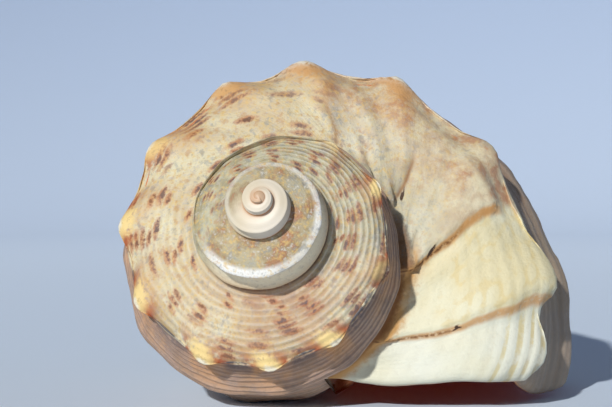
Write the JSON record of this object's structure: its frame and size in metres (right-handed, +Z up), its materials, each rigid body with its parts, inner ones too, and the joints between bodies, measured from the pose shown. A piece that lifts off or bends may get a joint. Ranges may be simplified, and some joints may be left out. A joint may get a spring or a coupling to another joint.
{
  "type": "rapa whelk shell",
  "caption": "Empty whelk shell with a stepped spire, a knobbed keel, a flared lip and a wide mouth; a natural display piece that lies on its mouth.",
  "frame": {"origin": "centre of the bounding box on the ground that the shell lies on", "axes": "+Z up; the apex of the spire points towards -Y and slightly up, the canal towards +Y; the lip is on the +X side"},
  "size_m": [0.0746, 0.0934, 0.0565],
  "materials": {
    "whelk_shell": "chalky, worn limy shell, cream with rust and brown dashes, smooth orange inside the mouth"
  },
  "bodies": {
    "root": {"shell": "whelk_shell"}
  },
  "joints": []
}
